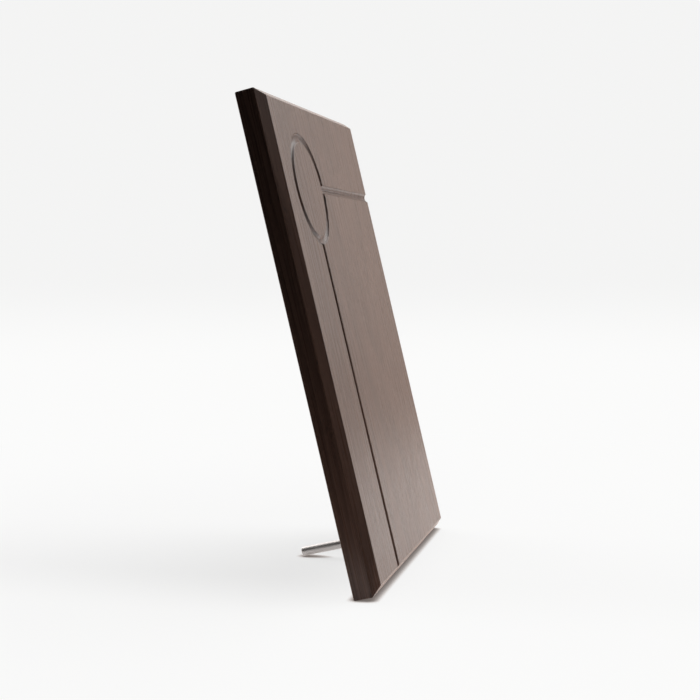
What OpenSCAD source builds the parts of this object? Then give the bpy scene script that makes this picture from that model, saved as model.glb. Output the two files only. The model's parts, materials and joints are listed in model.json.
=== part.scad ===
// Digital photo frame: a leaning walnut slab on one steel peg.
// The screen sits behind a thin skin of wood and only shows when it is lit.
// Each piece is drawn in the slab's own frame and then leant back as one.
// Slab frame: X across, Z up the slab from its bottom end, Y = 0 on the back
// and Y = -slab_t on the front. Millimetres.

/* [Slab] */
// Width of the wooden slab
slab_w = 192; // [190:1:210]
// Height of the slab, measured along its face
slab_h = 250; // [246:1:280]
// Thickness of the slab
slab_t = 14; // [14:0.5:16]
// Width of the 45 degree bevel round the front
bevel = 4.4; // [2:0.2:5]
// Rounding of the edges round the back
back_round = 0.8; // [0.4:0.1:1.2]
// Wood left in front of the screen
skin_t = 0.8; // [0.6:0.1:1.2]

/* [Stand] */
// Angle by which the slab leans back, in degrees
lean_angle = 13.5; // [10:0.5:15]
// Diameter of the peg
peg_d = 5; // [4:0.5:6]
// Length of peg that stands out of the back
peg_out = 48.2; // [40:0.1:50]
// Length of peg held in the socket
peg_in = 8.9; // [6:0.1:9]

/* [Engraving] */
// Width of the engraved grooves
groove_w = 4.6; // [3:0.1:6]
// Depth of the engraved grooves
groove_d = 1.5; // [1:0.1:2.2]
// Radius of the engraved ring, to the middle of its groove
dial_r = 26.8; // [22:0.1:28]
// Distance from the left side to the middle of the ring
dial_in = 49.7; // [48:0.1:52]
// Distance from the top end to the middle of the ring
dial_down = 48.4; // [47:0.1:60]
// Height of the side groove above the middle of the ring
line_rise = 1; // [0:0.1:2]

/* [Screen] */
// Width of the screen module
panel_w = 91; // [85:1:91]
// Height of the screen module
panel_h = 147; // [140:1:147]

/* [Back cover] */
// Width of the wooden rim at each side of the cover
rim_side = 19.4; // [18:0.2:20]
// Width of the wooden rim above and below the cover
rim_end = 20; // [19.5:0.1:20.5]
// Thickness of the cover
cover_t = 1.5; // [1.2:0.1:2]
// Depth of the cover below the wooden rim
cover_set = 0.3; // [0.1:0.1:0.5]
// How far a button moves when it is pressed
press = 0.5; // [0.3:0.1:0.6]

/* [Hidden] */
$fn = 48;
slip = 0.2;
over = 1;

// How the slab stands: the rounded back edge and the peg's tip touch the table
peg_r = peg_d / 2;
peg_tip = 0.4;
sin_l = sin(lean_angle);
cos_l = cos(lean_angle);
edge_lift = back_round * (sin_l + cos_l - 1);
peg_z = ((peg_out - peg_tip) * sin_l + edge_lift) / cos_l + peg_r;
low_y = bevel * sin_l - slab_t * cos_l;
high_y = (slab_h - back_round) * sin_l + back_round * (1 - cos_l);
centre_y = (low_y + high_y) / 2;

// Depths, from the back (0) towards the front (-slab_t)
cover_y = -cover_set;
ledge_y = cover_y - cover_t;
floor_y = 5 - slab_t;
skin_y = skin_t - slab_t;
touch_y = 3 - slab_t;
bracket_t = 1;
bracket_y = floor_y + bracket_t;
board_gap = 1.5;
board_t = 1.2;
board_front_y = bracket_y + board_gap;
board_y = board_front_y + board_t;
port_board_t = 1;
port_y = floor_y + port_board_t;
ribbon_t = 0.2;
ribbon_y = board_y + 0.1;

// Main cavity and the cover over it
mid_z = slab_h / 2;
recess_w = slab_w - 2 * rim_side;
recess_h = slab_h - 2 * rim_end;
recess_r = 10;
ledge_w = 3.8;
cavity_w = recess_w - 2 * ledge_w;
cavity_h = recess_h - 2 * ledge_w;
cavity_r = recess_r - ledge_w;
cavity_left = -cavity_w / 2;
cavity_right = cavity_w / 2;
boss_r = 5;

// Engraving
groove_r = (groove_w * groove_w / 4 + groove_d * groove_d) / (2 * groove_d);
groove_y = groove_d - slab_t - groove_r;
dial_x = dial_in - slab_w / 2;
dial_z = slab_h - dial_down;
touch_r = dial_r - 4;

// Screen
screen_x = cavity_right - 4 - (panel_w + 1) / 2;
screen_z = rim_end + ledge_w + 4 + (panel_h + 1) / 2;
window_t = 1;
glass_t = 1.2;
guide_t = 1.4;
panel_wall = 0.8;
panel_back_t = 0.4;
glass_w = panel_w - 2 * panel_wall - 0.4;
glass_h = panel_h - 2 * panel_wall - 0.4;
glass_y = skin_y + window_t;
guide_y = glass_y + glass_t;
panel_y = guide_y + guide_t;
led_h = 2;
flange = 5;
bracket_left = screen_x - panel_w / 2 - 0.5 - flange;
bracket_right = cavity_right - 0.5;
bracket_low = rim_end + ledge_w + 0.5;
bracket_high = screen_z + panel_h / 2 + 0.5 + flange;
bracket_w = bracket_right - bracket_left;
bracket_h = bracket_high - bracket_low;
bracket_x = (bracket_left + bracket_right) / 2;
bracket_z = (bracket_low + bracket_high) / 2;
cable_w = 24;
fold_z = screen_z + panel_h / 2 + 2;
side_screw_z = [bracket_low + 16, screen_z, bracket_high - 24];
end_screw_x = [screen_x - 30, screen_x + 30];
small_head_r = 1.5;
small_shank_r = 0.8;
pilot_r = small_shank_r + 0.05;
pilot_len = 3;

// Cover screws: four corners and the left middle in wood, the right middle on a post
corner_x = cavity_w / 2 - boss_r;
corner_z = cavity_h / 2 - boss_r;
boss_xz = [
    [-corner_x, mid_z - corner_z], [corner_x, mid_z - corner_z],
    [-corner_x, mid_z + corner_z], [corner_x, mid_z + corner_z],
    [-corner_x, mid_z]
];
post_xz = [bracket_right - 4.5, mid_z];
screw_xz = concat(boss_xz, [post_xz]);
screw_r = 1;
screw_head_r = 2.2;
screw_len = 5;
insert_r = 1.8;
insert_len = 4;
post_r = 2.5;

// Main board, in the upper half behind the screen
board_w = 84;
board_h = 64;
board_x = screen_x;
board_z = screen_z + 36;
board_left = board_x - board_w / 2;
board_low = board_z - board_h / 2;
board_high = board_z + board_h / 2;
standoff_in = 3.5;
standoff_xz = [
    for (x = [-1, 1], z = [-1, 1])
        [board_x + x * (board_w / 2 - standoff_in), board_z + z * (board_h / 2 - standoff_in)]
];
standoff_r = 2;
plug_h = 1.2;
chip_w = 16;
wifi_x = board_x + 26;
wifi_z = board_z + 18;
antenna_z = slab_h - 40;

// Battery, in the lower half behind the screen
battery_w = 78;
battery_h = 64;
battery_t = 4.2;
pad_t = 0.5;
battery_z = rim_end + ledge_w + 7 + battery_h / 2;
battery_high = battery_z + battery_h / 2;
lead_x = board_x + 30;
lead_y = board_y + 0.8;

// Left column: inlet, two buttons and the loudspeaker
column_x = cavity_left + 18;
port_w = 30;
port_h = 62;
port_z = rim_end + ledge_w + 42;
usb_z = rim_end + ledge_w + 20;
usb_w = 8.9;
usb_h = 3.2;
usb_wall = 0.3;
usb_lip_y = cover_y - 0.5;
button_z = [usb_z + 26, usb_z + 44];
button_r = 4;
button_flange_r = 5;
button_proud = 0.2;
switch_w = 6;
switch_h = 3.1;
plunger_r = 1.6;
plunger_y = port_y + switch_h + 0.3;
speaker_x = column_x + 3;
speaker_z = mid_z + 5;
speaker_w = 20;
speaker_h = 40;
speaker_t = 3;
grille_w = 16;
grille_h = 36;
grille_t = 0.8;
grille_hole_r = 0.7;
grille_step = 2.4;
gasket_t = 0.8;
speaker_y = ledge_y - gasket_t;
ribbon_x = bracket_left + 3;
ribbon_w = 6;
port_plug_z = port_z + port_h / 2 - 10;
port_ribbon_z = board_low + 11;
touch_ribbon_x = dial_x + 9;
touch_ribbon_z = dial_z - 18;
touch_plug_z = board_high - 10;
speaker_plug_z = board_z - 4;
vent_count = 7;
vent_w = 24;
vent_h = 1.8;
vent_step = 5;

// Helpers -------------------------------------------------------------

// Leans a piece back and sets it on the table, centred over its footprint
module lean() {
    translate([0, -centre_y, -edge_lift]) rotate([-lean_angle, 0, 0]) children();
}

// Extrudes an outline in the slab's plane from depth y_from back to y_to
module sheet(y_from, y_to) {
    translate([0, y_to, 0]) rotate([90, 0, 0]) linear_extrude(y_to - y_from) children();
}

module round_rect(w, h, r) {
    square([w - 2 * r, h], center = true);
    square([w, h - 2 * r], center = true);
    for (x = [-1, 1], z = [-1, 1])
        translate([x * (w / 2 - r), z * (h / 2 - r)]) circle(r);
}

module block(x, z, w, h) {
    translate([x, z]) square([w, h], center = true);
}

module dot(xz, r) {
    translate(xz) circle(r);
}

// A cylinder square to the back, from depth y_from to y_to
module pin(xz, r, y_from, y_to) {
    sheet(y_from, y_to) dot(xz, r);
}

// Pan-head screw seated at depth y, going forward into the slab
module pan_screw(xz, y, head_r, shank_r, len) {
    difference() {
        union() {
            pin(xz, head_r, y, y + 0.7);
            pin(xz, shank_r, y - len, y + 0.1);
        }
        translate([xz[0], y + 0.7, xz[1]]) cross_slot(head_r);
    }
}

module cross_slot(head_r) {
    for (turn = [0, 90])
        rotate([0, turn, 0]) cube([head_r * 1.1, 0.8, head_r * 0.28], center = true);
}

// Wooden slab -----------------------------------------------------------

// Bar along X with the slab's side outline: bevels at the front, round edges at the back
module side_bar() {
    translate([-slab_w / 2, 0, 0]) rotate([90, 0, 90]) linear_extrude(slab_w) polygon([
        [-slab_t, bevel], [-slab_t, slab_h - bevel], [bevel - slab_t, slab_h],
        [-back_round, slab_h], [0, slab_h - back_round], [0, back_round],
        [-back_round, 0], [bevel - slab_t, 0]
    ]);
    for (z = [back_round, slab_h - back_round])
        translate([-slab_w / 2, -back_round, z]) rotate([0, 90, 0]) cylinder(h = slab_w, r = back_round);
}

// Bar along Z with the slab's outline from above
module plan_bar() {
    half_w = slab_w / 2;
    linear_extrude(slab_h) polygon([
        [bevel - half_w, -slab_t], [half_w - bevel, -slab_t], [half_w, bevel - slab_t],
        [half_w, -back_round], [half_w - back_round, 0], [back_round - half_w, 0],
        [-half_w, -back_round], [-half_w, bevel - slab_t]
    ]);
    for (x = [back_round - half_w, half_w - back_round])
        translate([x, -back_round, 0]) cylinder(h = slab_h, r = back_round);
}

// A ring with one line out to the right side and one down to the bottom end
module engraving() {
    join = 0.4;
    translate([dial_x, groove_y, dial_z]) rotate([90, 0, 0])
        rotate_extrude() translate([dial_r, 0]) circle(groove_r);
    translate([dial_x + dial_r + join, groove_y, dial_z + line_rise]) rotate([0, 90, 0])
        cylinder(h = slab_w, r = groove_r);
    translate([dial_x, groove_y, -over]) cylinder(h = dial_z - dial_r - join + over, r = groove_r);
}

// Wood left standing for a cover screw, joined to the cavity's wall
module boss_outline(xz) {
    dot(xz, boss_r);
    side = sign(xz[0]);
    block(xz[0] + side * boss_r / 2, xz[1], boss_r, 2 * boss_r);
    if (xz[1] != mid_z)
        block(xz[0], xz[1] + sign(xz[1] - mid_z) * boss_r / 2, 2 * boss_r, boss_r);
}

module cavity_outline() {
    difference() {
        translate([0, mid_z]) round_rect(cavity_w, cavity_h, cavity_r);
        for (xz = boss_xz) boss_outline(xz);
    }
}

module wood_body() color([0.27, 0.19, 0.15]) lean() difference() {
    intersection() {
        side_bar();
        plan_bar();
    }
    engraving();
    sheet(ledge_y, over) translate([0, mid_z]) round_rect(recess_w, recess_h, recess_r);
    sheet(floor_y, 0) cavity_outline();
    sheet(skin_y, floor_y + over) block(screen_x, screen_z, panel_w + 1, panel_h + 1);
    sheet(skin_y + window_t, floor_y + over) block(screen_x, fold_z - 1, cable_w + 2, 5);
    pin([dial_x, dial_z], touch_r + 0.5, touch_y, floor_y + over);
    pin([0, peg_z], peg_r + 1, -peg_in - 1.6, over);
    for (xz = boss_xz) pin(xz, insert_r, ledge_y - insert_len - 1, 0);
    for (xz = bracket_screw_xz()) pin(xz, pilot_r, floor_y - pilot_len, floor_y + over);
    for (xz = port_screw_xz()) pin(xz, pilot_r, floor_y - pilot_len, floor_y + over);
}

// Back cover and what holds it --------------------------------------------

module vent_outline() {
    for (i = [0 : vent_count - 1]) {
        z = board_z + (i - (vent_count - 1) / 2) * vent_step;
        block(board_x, z, vent_w - vent_h, vent_h);
        for (x = [-1, 1]) dot([board_x + x * (vent_w - vent_h) / 2, z], vent_h / 2);
    }
}

module back_cover() color([0.09, 0.09, 0.095]) lean() difference() {
    sheet(ledge_y, cover_y) difference() {
        translate([0, mid_z]) round_rect(recess_w - 2 * slip, recess_h - 2 * slip, recess_r - slip);
        vent_outline();
        for (z = button_z) dot([column_x, z], button_r + 0.3);
        translate([column_x, usb_z]) round_rect(usb_w + 0.6, usb_h + 0.6, (usb_h + 0.6) / 2 - 0.01);
        translate([speaker_x, speaker_z]) round_rect(grille_w - 2, grille_h - 2, grille_w / 2 - 2);
        for (xz = screw_xz) dot(xz, screw_r + 0.2);
    }
    sheet(cover_y - grille_t, over)
        translate([speaker_x, speaker_z]) round_rect(grille_w + 0.2, grille_h + 0.2, grille_w / 2 - 1);
    for (xz = screw_xz)
        translate([xz[0], cover_y + 0.01, xz[1]]) rotate([90, 0, 0])
            cylinder(h = screw_head_r - screw_r + 0.15, r1 = screw_head_r + 0.15, r2 = screw_r);
}

// Countersunk screw with its head just below the cover's face
module cover_screw(xz) {
    head_y = cover_y - 0.1;
    difference() {
        union() {
            translate([xz[0], head_y, xz[1]]) rotate([90, 0, 0])
                cylinder(h = screw_head_r - screw_r, r1 = screw_head_r, r2 = screw_r);
            pin(xz, screw_r, head_y - screw_len, head_y - 0.5);
        }
        translate([xz[0], head_y, xz[1]]) cross_slot(screw_head_r);
    }
}

module cover_screws() color([0.32, 0.32, 0.33]) lean() {
    for (xz = screw_xz) cover_screw(xz);
}

module cover_inserts() color([0.78, 0.62, 0.3]) lean() {
    for (xz = boss_xz) sheet(ledge_y - insert_len, ledge_y) difference() {
        dot(xz, insert_r);
        dot(xz, screw_r + 0.05);
    }
}

module cover_post() color([0.78, 0.62, 0.3]) lean() sheet(bracket_y, ledge_y) difference() {
    dot(post_xz, post_r);
    dot(post_xz, screw_r + 0.05);
}

// Screen --------------------------------------------------------------------

module display_window() color([0.55, 0.6, 0.62]) lean()
    sheet(skin_y, skin_y + window_t) block(screen_x, screen_z, panel_w + 0.6, panel_h + 0.6);

module lcd_glass() color([0.08, 0.09, 0.12]) lean()
    sheet(glass_y, guide_y) block(screen_x, screen_z, glass_w, glass_h);

module light_guide() color([0.9, 0.92, 0.93]) lean()
    sheet(guide_y, panel_y) block(screen_x, screen_z + led_h / 2, glass_w, glass_h - led_h);

module led_bar() color([0.95, 0.9, 0.6]) lean()
    sheet(guide_y, panel_y) block(screen_x, screen_z - glass_h / 2 + led_h / 2 - 0.1, glass_w, led_h - 0.2);

module panel_frame() color([0.7, 0.71, 0.72]) lean() {
    sheet(panel_y, panel_y + panel_back_t) block(screen_x, screen_z, panel_w, panel_h);
    sheet(glass_y + 0.2, panel_y) difference() {
        block(screen_x, screen_z, panel_w, panel_h);
        block(screen_x, screen_z, panel_w - 2 * panel_wall, panel_h - 2 * panel_wall);
        block(screen_x, screen_z + panel_h / 2, cable_w + 1, 3 * panel_wall);
    }
}

function bracket_screw_xz() = concat(
    [for (z = side_screw_z) [bracket_left + 2.5, z]],
    [for (z = side_screw_z) [bracket_right - 1.8, z]],
    [for (x = end_screw_x) [x, bracket_high - 2.5]],
    [for (x = end_screw_x) [x, bracket_low + 1.8]]
);

module display_bracket() color([0.75, 0.76, 0.78]) lean() sheet(floor_y, bracket_y) difference() {
    block(bracket_x, bracket_z, bracket_w, bracket_h);
    block(screen_x, fold_z, cable_w + 2, 2);
    block(bracket_right, bracket_low, 4 * boss_r + 2, 4 * boss_r);
    for (xz = bracket_screw_xz()) dot(xz, small_shank_r + 0.1);
}

module bracket_screws() color([0.6, 0.6, 0.62]) lean() {
    for (xz = bracket_screw_xz())
        pan_screw(xz, bracket_y, small_head_r, small_shank_r, bracket_t + pilot_len - 0.2);
}

// Flat cable that folds back over the panel's upper end to the main board
module display_cable() color([0.75, 0.5, 0.2]) lean() {
    start_y = glass_y + 0.5;
    run_y = bracket_y + 0.3;
    plug_z = board_high - 3;
    drop_z = board_high + 2;
    translate([screen_x - cable_w / 2, 0, 0]) {
        translate([0, start_y, screen_z + glass_h / 2])
            cube([cable_w, ribbon_t, fold_z + ribbon_t - screen_z - glass_h / 2]);
        translate([0, start_y, fold_z]) cube([cable_w, run_y + ribbon_t - start_y, ribbon_t]);
        translate([0, run_y, drop_z]) cube([cable_w, ribbon_t, fold_z + ribbon_t - drop_z]);
        translate([0, run_y, drop_z]) cube([cable_w, ribbon_y + ribbon_t - run_y, ribbon_t]);
        translate([0, ribbon_y, plug_z]) cube([cable_w, ribbon_t, drop_z + ribbon_t - plug_z]);
    }
}

// Main board ----------------------------------------------------------------

module main_board() color([0.05, 0.25, 0.14]) lean() sheet(board_front_y, board_y) difference() {
    block(board_x, board_z, board_w, board_h);
    for (xz = standoff_xz) dot(xz, small_shank_r + 0.15);
}

module board_standoffs() color([0.78, 0.62, 0.3]) lean() {
    for (xz = standoff_xz) sheet(bracket_y, board_front_y) difference() {
        dot(xz, standoff_r);
        dot(xz, pilot_r);
    }
}

module board_screws() color([0.6, 0.6, 0.62]) lean() {
    for (xz = standoff_xz)
        pan_screw(xz, board_y, small_head_r, small_shank_r, board_t + board_gap - 0.1);
}

module processor() color([0.12, 0.12, 0.13]) lean()
    sheet(board_y, board_y + 1.3) block(board_x - 6, board_z + 2, chip_w, chip_w);

module memory_chips() color([0.1, 0.1, 0.11]) lean() {
    for (z = [-9, 9]) sheet(board_y, board_y + 1)
        block(board_x + 12, board_z + 2 + z, 9, 12);
}

module wifi_module() color([0.7, 0.71, 0.72]) lean()
    sheet(board_y, board_y + 1.8) block(wifi_x, wifi_z, 15, 13);

module power_coils() color([0.2, 0.2, 0.21]) lean() {
    for (i = [0 : 2]) sheet(board_y, board_y + 2.2)
        translate([board_x - 32 + i * 8, board_low + 9]) round_rect(6, 6, 1.2);
}

// Sockets on both boards for the flat cables and leads
module board_connectors() color([0.88, 0.86, 0.8]) lean() {
    plug_end_z = board_high - 3;
    sheet(board_y, board_y + plug_h) {
        block(screen_x, plug_end_z - 2, cable_w + 3, 4);
        block(board_left + 4, touch_plug_z, 4, ribbon_w + 2);
        block(board_left + 4, port_ribbon_z, 4, ribbon_w + 2);
    }
    sheet(board_y, board_y + 2) {
        block(board_left + 4.5, speaker_plug_z, 5, 7);
        block(lead_x, board_low + 7, 7, 5);
    }
    sheet(port_y, ribbon_y + ribbon_t) block(column_x + port_w / 2 - 4, port_plug_z, 4, ribbon_w + 2);
}

module wifi_antenna() color([0.75, 0.5, 0.2]) lean()
    sheet(floor_y, floor_y + 0.2) block(wifi_x, antenna_z, 40, 8);

// Thin round lead from the antenna down to the wireless module
module antenna_lead() color([0.15, 0.15, 0.16]) lean() {
    lead_r = 0.55;
    lead_top = antenna_z - 2;
    run_y = board_y + 1.1;
    foot_z = wifi_z + 6.5;
    translate([wifi_x, run_y, foot_z]) cylinder(h = lead_top - foot_z, r = lead_r);
    translate([wifi_x, run_y, lead_top]) sphere(lead_r);
    pin([wifi_x, lead_top], lead_r, floor_y + 0.2, run_y);
}

// Battery -------------------------------------------------------------------

module battery_pad() color([0.9, 0.9, 0.88]) lean()
    sheet(bracket_y, bracket_y + pad_t) block(board_x, battery_z, battery_w - 8, battery_h - 8);

module battery() color([0.62, 0.64, 0.66]) lean()
    sheet(bracket_y + pad_t, bracket_y + pad_t + battery_t)
        translate([board_x, battery_z]) round_rect(battery_w, battery_h, 2);

module battery_lead() color([0.6, 0.08, 0.06]) lean() {
    plug_low = board_low + 2;
    for (x = [-1, 1]) translate([lead_x + x, lead_y, battery_high])
        cylinder(h = plug_low - battery_high, r = 0.6);
}

module battery_plug() color([0.92, 0.9, 0.84]) lean()
    sheet(board_y + 0.1, board_y + 2) block(lead_x, board_low + 3.2, 6, 2.4);

// Left column -----------------------------------------------------------------

function port_screw_xz() = [
    for (x = [-1, 1], z = [-1, 1]) [column_x + x * (port_w / 2 - 2.5), port_z + z * (port_h / 2 - 2.5)]
];

module port_board() color([0.05, 0.25, 0.14]) lean() sheet(floor_y, port_y) difference() {
    block(column_x, port_z, port_w, port_h);
    for (xz = port_screw_xz()) dot(xz, small_shank_r + 0.1);
}

module port_board_screws() color([0.6, 0.6, 0.62]) lean() {
    for (xz = port_screw_xz())
        pan_screw(xz, port_y, small_head_r, small_shank_r, port_board_t + pilot_len - 0.2);
}

module usb_oval(grow) {
    translate([column_x, usb_z])
        round_rect(usb_w + 2 * grow, usb_h + 2 * grow, usb_h / 2 + grow - 0.01);
}

module usb_socket() color([0.8, 0.8, 0.82]) lean() sheet(port_y, usb_lip_y) difference() {
    usb_oval(0);
    usb_oval(-usb_wall);
}

// Insulating base and contact tongue inside the inlet's shell
module usb_tongue() color([0.07, 0.07, 0.075]) lean() {
    sheet(port_y, port_y + 2) usb_oval(-usb_wall - 0.02);
    sheet(port_y + 2, usb_lip_y - 0.9) block(column_x, usb_z, 6.7, 0.7);
}

module port_cable() color([0.75, 0.5, 0.2]) lean() sheet(ribbon_y, ribbon_y + ribbon_t) {
    from_x = column_x + port_w / 2 - 2;
    to_x = board_left + 2;
    block((from_x + ribbon_x) / 2 + ribbon_w / 4, port_plug_z, ribbon_x - from_x + ribbon_w / 2, ribbon_w);
    block(ribbon_x, (port_plug_z + port_ribbon_z) / 2, ribbon_w, port_ribbon_z - port_plug_z + ribbon_w);
    block((ribbon_x + to_x) / 2 - ribbon_w / 4, port_ribbon_z, to_x - ribbon_x + ribbon_w / 2, ribbon_w);
}

module button_switches() color([0.1, 0.1, 0.11]) lean() {
    for (z = button_z) difference() {
        sheet(port_y, port_y + switch_h) block(column_x, z, switch_w, switch_w);
        pin([column_x, z], plunger_r + 0.1, port_y + 1, port_y + switch_h + over);
    }
}

module plunger(z) {
    pin([column_x, z], plunger_r, port_y + 1 + press + 0.2, plunger_y);
}

// Cap in the cover's hole, with a flange behind the cover and a stem to the plunger
module button(z) {
    xz = [column_x, z];
    face_y = cover_y + button_proud;
    flange_y = ledge_y - 0.05;
    difference() {
        union() {
            pin(xz, button_r, flange_y - 0.7, face_y);
            pin(xz, button_flange_r, flange_y - 0.7, flange_y);
            pin(xz, plunger_r, plunger_y, flange_y);
        }
        translate([column_x, face_y + 11.6, z]) sphere(12, $fn = 96);
    }
}

module power_plunger() color([0.85, 0.84, 0.8]) lean() plunger(button_z[0]);
module pair_plunger() color([0.85, 0.84, 0.8]) lean() plunger(button_z[1]);
module power_button() color([0.14, 0.14, 0.15]) lean() button(button_z[0]);
module pair_button() color([0.14, 0.14, 0.15]) lean() button(button_z[1]);

// Loudspeaker: a racetrack frame with a soft cone, facing the grille
module speaker_frame() color([0.12, 0.12, 0.13]) lean() difference() {
    sheet(speaker_y - speaker_t, speaker_y)
        translate([speaker_x, speaker_z]) round_rect(speaker_w, speaker_h, 4);
    sheet(speaker_y - speaker_t + 0.8, speaker_y + over)
        translate([speaker_x, speaker_z]) round_rect(speaker_w - 2, speaker_h - 2, 3);
}

module speaker_magnet() color([0.5, 0.5, 0.52]) lean()
    sheet(speaker_y - speaker_t - 1.2, speaker_y - speaker_t)
        translate([speaker_x, speaker_z]) round_rect(12, 24, 2);

module speaker_cone() color([0.16, 0.16, 0.17]) lean() difference() {
    sheet(speaker_y - speaker_t + 0.9, speaker_y - 0.4)
        translate([speaker_x, speaker_z]) round_rect(speaker_w - 2.4, speaker_h - 2.4, 2.8);
    sheet(speaker_y - 1, speaker_y + over)
        translate([speaker_x, speaker_z]) round_rect(speaker_w - 7, speaker_h - 7, 3);
}

module speaker_gasket() color([0.05, 0.05, 0.05]) lean() sheet(speaker_y, ledge_y) difference() {
    translate([speaker_x, speaker_z]) round_rect(speaker_w, speaker_h, 4);
    translate([speaker_x, speaker_z]) round_rect(speaker_w - 3, speaker_h - 3, 3);
}

module speaker_grille() color([0.2, 0.2, 0.21]) lean() sheet(cover_y - grille_t, cover_y) difference() {
    translate([speaker_x, speaker_z]) round_rect(grille_w, grille_h, grille_w / 2 - 1.1);
    for (i = [-2 : 2], j = [-6 : 6])
        if (abs(i) + abs(j) < 8)
            dot([speaker_x + i * grille_step, speaker_z + j * grille_step], grille_hole_r);
}

module speaker_lead() color([0.1, 0.1, 0.1]) lean() {
    from_x = speaker_x + speaker_w / 2;
    to_x = board_left + 2;
    for (z = [-1, 1]) translate([from_x, board_y + 0.8, speaker_plug_z + z])
        rotate([0, 90, 0]) cylinder(h = to_x - from_x, r = 0.5);
}

// Touch ring behind the engraved dial -------------------------------------------

module touch_board() color([0.05, 0.2, 0.3]) lean()
    pin([dial_x, dial_z], touch_r, touch_y, touch_y + 1);

module touch_cable() color([0.75, 0.5, 0.2]) lean() {
    to_x = board_left + 2;
    half_w = ribbon_w / 2;
    sheet(touch_y + 1, ribbon_y + ribbon_t) block(touch_ribbon_x, touch_ribbon_z, ribbon_w, ribbon_t);
    sheet(ribbon_y, ribbon_y + ribbon_t) {
        block(touch_ribbon_x, (touch_ribbon_z + touch_plug_z) / 2 - half_w / 2,
              ribbon_w, touch_ribbon_z - touch_plug_z + half_w);
        block((touch_ribbon_x + to_x) / 2 - half_w / 2, touch_plug_z,
              to_x - touch_ribbon_x + half_w, ribbon_w);
    }
}

// Stand -----------------------------------------------------------------------

module peg_socket() color([0.72, 0.72, 0.74]) lean() sheet(-peg_in - 0.05, 0) difference() {
    dot([0, peg_z], peg_r + 1);
    dot([0, peg_z], peg_r + 0.03);
}

module peg_magnet() color([0.6, 0.6, 0.62]) lean()
    pin([0, peg_z], peg_r + 0.6, -peg_in - 1.55, -peg_in - 0.05);

module stand_peg() color([0.78, 0.78, 0.79]) lean() translate([0, -peg_in, peg_z]) rotate([-90, 0, 0]) {
    body_len = peg_in + peg_out - 2 * peg_tip;
    cylinder(h = peg_tip, r1 = peg_r - peg_tip, r2 = peg_r);
    translate([0, 0, peg_tip]) cylinder(h = body_len, r = peg_r);
    translate([0, 0, peg_tip + body_len]) cylinder(h = peg_tip, r1 = peg_r, r2 = peg_r - peg_tip);
}

// Pieces ------------------------------------------------------------------------

wood_body();
back_cover();
cover_screws();
cover_inserts();
cover_post();
display_window();
lcd_glass();
light_guide();
led_bar();
panel_frame();
display_bracket();
bracket_screws();
display_cable();
main_board();
board_standoffs();
board_screws();
processor();
memory_chips();
wifi_module();
power_coils();
board_connectors();
wifi_antenna();
antenna_lead();
battery();
battery_pad();
battery_lead();
battery_plug();
port_board();
port_board_screws();
usb_socket();
usb_tongue();
port_cable();
button_switches();
power_plunger();
power_button();
pair_plunger();
pair_button();
speaker_frame();
speaker_magnet();
speaker_cone();
speaker_gasket();
speaker_grille();
speaker_lead();
touch_board();
touch_cable();
peg_socket();
peg_magnet();
stand_peg();
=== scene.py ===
import json
import math
import random

import bpy
from mathutils import Matrix, Vector
from mathutils.bvhtree import BVHTree


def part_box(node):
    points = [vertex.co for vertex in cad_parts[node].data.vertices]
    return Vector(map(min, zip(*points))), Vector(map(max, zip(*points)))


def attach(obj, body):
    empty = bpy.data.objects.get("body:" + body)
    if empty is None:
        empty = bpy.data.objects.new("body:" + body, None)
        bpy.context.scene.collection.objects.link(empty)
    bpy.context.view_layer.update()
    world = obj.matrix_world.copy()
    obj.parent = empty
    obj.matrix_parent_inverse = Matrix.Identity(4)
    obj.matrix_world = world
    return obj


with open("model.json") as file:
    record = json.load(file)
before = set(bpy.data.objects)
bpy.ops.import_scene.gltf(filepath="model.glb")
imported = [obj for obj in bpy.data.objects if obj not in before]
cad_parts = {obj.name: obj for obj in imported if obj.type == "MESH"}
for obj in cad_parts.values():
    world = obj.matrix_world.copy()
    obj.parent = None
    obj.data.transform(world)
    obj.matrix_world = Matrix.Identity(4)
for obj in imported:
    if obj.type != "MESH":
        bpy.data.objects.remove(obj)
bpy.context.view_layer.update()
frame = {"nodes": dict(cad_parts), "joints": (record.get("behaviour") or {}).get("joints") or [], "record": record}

MM = 0.001
nodes = frame["nodes"]
joints = {joint["name"]: joint for joint in frame["joints"]}

# The slab leans back: the peg slides square out of its back, so its axis gives the lean
back = Vector(joints["peg_slide"]["axis"])
lean = math.atan2(-back.z, back.y)
slab_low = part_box("wood_body")[0]

# Small pieces are laid out in the slab's directions (X across, Y out of its back, Z along) and leant with it
UPRIGHT = Matrix.Rotation(lean, 4, "X")
LEANT = UPRIGHT.inverted()


# Node helpers ---------------------------------------------------------------

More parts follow.
